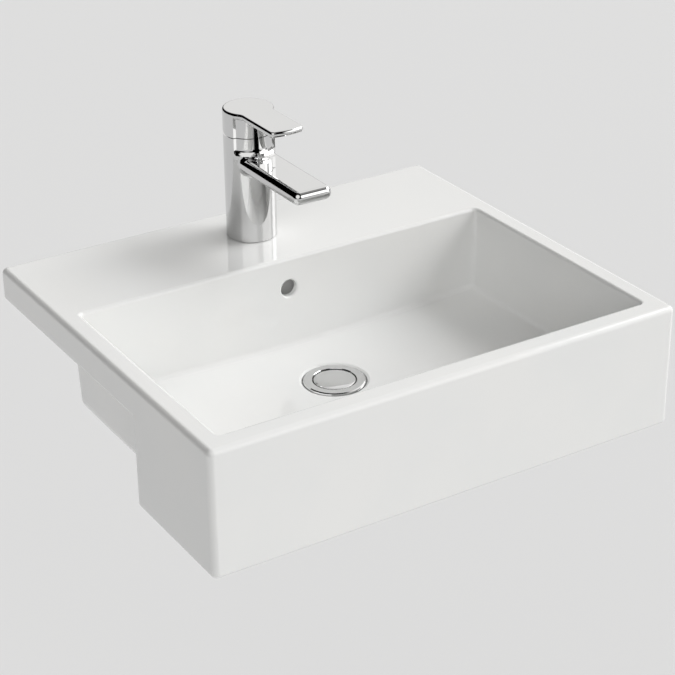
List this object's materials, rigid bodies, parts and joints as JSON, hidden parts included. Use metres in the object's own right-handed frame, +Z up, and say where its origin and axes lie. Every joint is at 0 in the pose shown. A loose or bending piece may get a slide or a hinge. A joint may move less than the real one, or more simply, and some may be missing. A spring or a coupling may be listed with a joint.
{
  "type": "semi-recessed washbasin with mixer",
  "caption": "Rectangular semi-recessed washbasin with rear tap ledge, overflow, push-to-open waste and single-lever basin mixer.",
  "frame": {"origin": "on the worktop plane and the left-right centre plane, at the middle of the rear seat rail's underside", "axes": "+X to the right of a person standing at the basin, +Y to the wall, +Z up"},
  "size_m": [0.5, 0.43, 0.3115],
  "materials": {
    "ceramic": "white glazed vitreous china, opaque",
    "chrome": "polished chrome plate",
    "brass": "turned, plain",
    "steel": "plain stainless steel",
    "rubber": "moulded, matt",
    "plastic_dark": "moulded",
    "plastic_white": "moulded",
    "plastic_grey": "moulded",
    "plug_plastic": "bright grey, gloss",
    "disc_ceramic": "lapped alumina, opaque"
  },
  "bodies": {
    "basin": {"basin": "ceramic", "waste_flange": "chrome", "mixer_body": "chrome", "waste_top_seal": "rubber", "waste_lower_seal": "rubber", "waste_back_nut": "brass", "clicker_barrel": "brass", "clicker_spring": "steel", "clicker_locknut": "brass", "base_gasket": "rubber", "fixing_stud": "steel", "clamp_rubber": "rubber", "clamp_plate": "steel", "stud_nut": "brass", "aerator_housing": "chrome", "aerator_core": "plastic_grey", "aerator_seal": "rubber", "cartridge_base": "plastic_dark", "cartridge_seals": "rubber", "fixed_disc": "disc_ceramic", "cartridge_housing": "plastic_dark", "cartridge_nut": "brass", "cartridge_cover": "chrome"},
    "rotor": {"cartridge_rotor": "plastic_white", "pivot_pin": "steel"},
    "lever": {"lever": "chrome", "cartridge_spindle": "steel", "lever_grub_screw": "steel", "lever_plug": "plug_plastic"},
    "disc": {"moving_disc": "disc_ceramic", "disc_carrier": "plastic_dark"},
    "plug": {"plug_cap": "chrome", "plug_seal": "rubber", "clicker_stem": "steel"}
  },
  "joints": [
    {"name": "lever_turn", "type": "hinge", "parent": "basin", "child": "rotor", "pos_m": [0, -0.052, 0.146], "axis": [0, 0, 1], "range_deg": [-45, 45]},
    {"name": "lever_lift", "type": "hinge", "parent": "rotor", "child": "lever", "pos_m": [0, -0.052, 0.146], "axis": [-1, 0, 0], "range_deg": [0, 20]},
    {"name": "disc_slide", "type": "slide", "parent": "rotor", "child": "disc", "axis": [0, -1, 0], "range_m": [0, 0.0039]},
    {"name": "plug_click", "type": "slide", "parent": "basin", "child": "plug", "axis": [0, 0, 1], "range_m": [0, 0.009], "deforming": ["clicker_spring"]}
  ],
  "couplings": [
    {"joint": "disc_slide", "follows": "lever_lift", "m_per_rad": 0.011}
  ]
}
